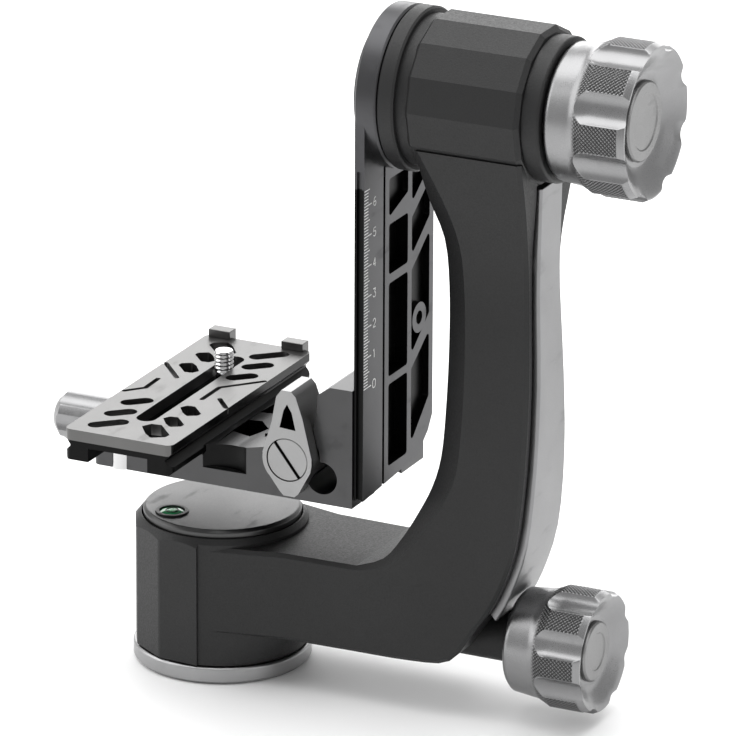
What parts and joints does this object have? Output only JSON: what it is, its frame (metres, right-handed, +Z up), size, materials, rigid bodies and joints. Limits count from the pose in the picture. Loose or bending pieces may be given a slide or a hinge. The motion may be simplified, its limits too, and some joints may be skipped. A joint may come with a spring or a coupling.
{
  "type": "gimbal tripod head",
  "caption": "Tripod head with an L-shaped arm panning on a drum, a graduated swing arm tilting beside it, a height-adjustable platform with a dovetail clamp and plate, and fluted lock knobs.",
  "frame": {"origin": "centre of the foot's underside, on the pan axis, at the mouth of the tripod socket", "axes": "+Z up along the pan axis, +X from the pan axis to the upright and the knobs, Y across"},
  "size_m": [0.2071, 0.1021, 0.2268],
  "materials": {
    "foot_silver": "bead blasted",
    "steel": "turned",
    "arm_black": "fine sand texture",
    "spine_silver": "satin",
    "bronze": "turned",
    "cap_grey": "turned satin",
    "level_black": "matte",
    "vial_green": "clear",
    "nylon": "matte",
    "knob_silver": "satin, knurled",
    "disc_silver": "turned",
    "chrome": "bright",
    "swing_grey": "satin anodised",
    "platform_grey": "satin anodised",
    "lever_silver": "satin",
    "plate_grey": "satin anodised"
  },
  "bodies": {
    "base": {"base_plate": "foot_silver", "tripod_socket": "steel", "pan_spindle": "steel", "foot_screws": "steel", "pan_retainer": "steel"},
    "arm": {"gimbal_arm": "arm_black", "spine_panel": "spine_silver", "pan_bearing_lower": "bronze", "pan_bearing_upper": "bronze", "base_cap": "cap_grey", "level_housing": "level_black", "level_vial": "vial_green", "tilt_bearing_inner": "bronze", "tilt_bearing_outer": "bronze", "tilt_collar": "arm_black"},
    "pan_brake": {"pan_brake_shoe": "nylon"},
    "pan_lock": {"pan_knob": "knob_silver", "pan_knob_disc": "disc_silver", "pan_knob_washer": "chrome", "pan_brake_rod": "steel"},
    "tilt_brake": {"tilt_brake_disc": "nylon"},
    "tilt_lock": {"tilt_knob": "knob_silver", "tilt_knob_disc": "disc_silver", "tilt_knob_stud": "steel"},
    "swing": {"swing_arm": "swing_grey", "tilt_spindle": "steel", "spindle_bolts": "steel", "head_cap": "swing_grey"},
    "carrier": {"platform": "platform_grey", "detent_pin": "chrome", "clamp_guides": "steel", "lever_pivot_screw": "lever_silver"},
    "lever": {"lock_lever": "lever_silver"},
    "jaw": {"clamp_jaw": "platform_grey"},
    "clamp_lock": {"clamp_knob": "knob_silver", "clamp_stud": "steel"},
    "plate": {"qr_plate": "plate_grey", "plate_lugs": "plate_grey"},
    "washer": {"screw_washer": "steel"},
    "screw": {"camera_screw": "chrome"}
  },
  "joints": [
    {"name": "pan", "type": "hinge", "parent": "base", "child": "arm", "pos_m": [0, 0, 0.03], "axis": [0, 0, 1], "continuous": true},
    {"name": "tilt", "type": "hinge", "parent": "arm", "child": "swing", "pos_m": [0.07, 0, 0.20075], "axis": [1, 0, 0], "continuous": true},
    {"name": "pan_brake_travel", "type": "slide", "parent": "arm", "child": "pan_brake", "axis": [-1, 0, 0], "range_m": [-0.00126, 0.00022]},
    {"name": "pan_knob_turn", "type": "hinge", "parent": "pan_brake", "child": "pan_lock", "pos_m": [0.12, 0, 0.0237], "axis": [-1, 0, 0], "range_deg": [-360, 60]},
    {"name": "tilt_brake_travel", "type": "slide", "parent": "arm", "child": "tilt_brake", "axis": [-1, 0, 0], "range_m": [-0.00126, 0.00022]},
    {"name": "tilt_knob_turn", "type": "hinge", "parent": "tilt_brake", "child": "tilt_lock", "pos_m": [0.13, 0, 0.20075], "axis": [-1, 0, 0], "range_deg": [-360, 60]},
    {"name": "platform_height", "type": "slide", "parent": "swing", "child": "carrier", "axis": [0, 0, 1], "range_m": [0, 0.06]},
    {"name": "lever_throw", "type": "hinge", "parent": "carrier", "child": "lever", "pos_m": [0.0385, -0.02, 0.0827], "axis": [0, -1, 0], "range_deg": [0, 42]},
    {"name": "clamp_jaw_travel", "type": "slide", "parent": "carrier", "child": "jaw", "axis": [-1, 0, 0], "range_m": [0, 0.00301]},
    {"name": "clamp_knob_turn", "type": "hinge", "parent": "jaw", "child": "clamp_lock", "pos_m": [-0.045, 0, 0.0726], "axis": [-1, 0, 0], "range_deg": [0, 1080]},
    {"name": "plate_shift", "type": "slide", "parent": "carrier", "child": "plate", "axis": [0, 1, 0], "range_m": [-0.02, 0.02]},
    {"name": "camera_screw_shift", "type": "slide", "parent": "plate", "child": "washer", "axis": [0, 1, 0], "range_m": [-0.054, 0.007]},
    {"name": "camera_screw_spin", "type": "hinge", "parent": "washer", "child": "screw", "pos_m": [-0.012, 0.025, 0.085], "axis": [0, 0, 1], "continuous": true}
  ],
  "couplings": [
    {"joint": "pan_brake_travel", "follows": "pan_knob_turn", "m_per_rad": 0.00019894},
    {"joint": "tilt_brake_travel", "follows": "tilt_knob_turn", "m_per_rad": 0.00019894},
    {"joint": "clamp_jaw_travel", "follows": "clamp_knob_turn", "m_per_rad": 0.00015915}
  ]
}
